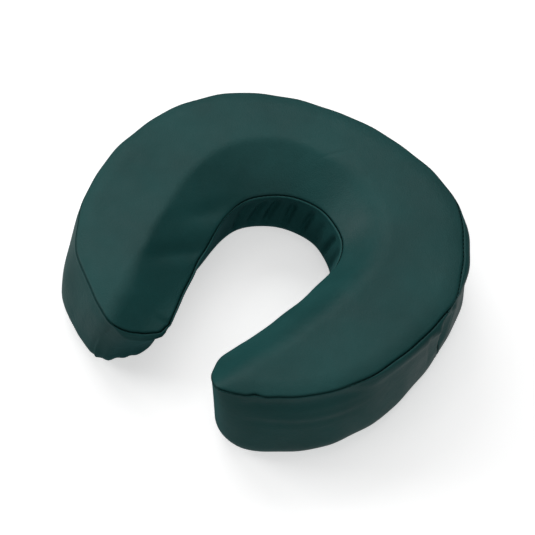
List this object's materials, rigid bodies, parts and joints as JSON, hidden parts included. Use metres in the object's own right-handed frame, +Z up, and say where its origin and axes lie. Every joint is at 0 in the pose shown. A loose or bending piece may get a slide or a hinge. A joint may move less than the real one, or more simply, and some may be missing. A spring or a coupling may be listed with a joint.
{
  "type": "face cradle cushion",
  "caption": "Horseshoe-shaped padded cushion in green vinyl for a massage table's face cradle, with a bevel sloping into the face opening and a loop-fabric underside.",
  "frame": {"origin": "on the underside, at the middle of the plan's bounding box", "axes": "+Z up, +Y towards the closed crown of the horseshoe, arm tips towards -Y, mirror plane X = 0"},
  "size_m": [0.307, 0.2771, 0.08],
  "materials": {
    "cover_vinyl": "satin fine-grained vinyl",
    "loop_fabric": "brushed loop pile",
    "thread": "matte twisted thread",
    "firm_foam": "open-cell foam",
    "medium_foam": "open-cell foam",
    "soft_foam": "slow-recovery foam"
  },
  "bodies": {
    "root": {"foam_base": "firm_foam", "foam_middle": "medium_foam", "foam_top": "soft_foam", "top_panel": "cover_vinyl", "crown_band": "cover_vinyl", "arm_band": "cover_vinyl", "base_panel": "loop_fabric", "top_seam_stitches": "thread", "base_seam_stitches": "thread", "closing_stitches": "thread", "shoulder_seam_stitches": "thread"}
  },
  "joints": []
}
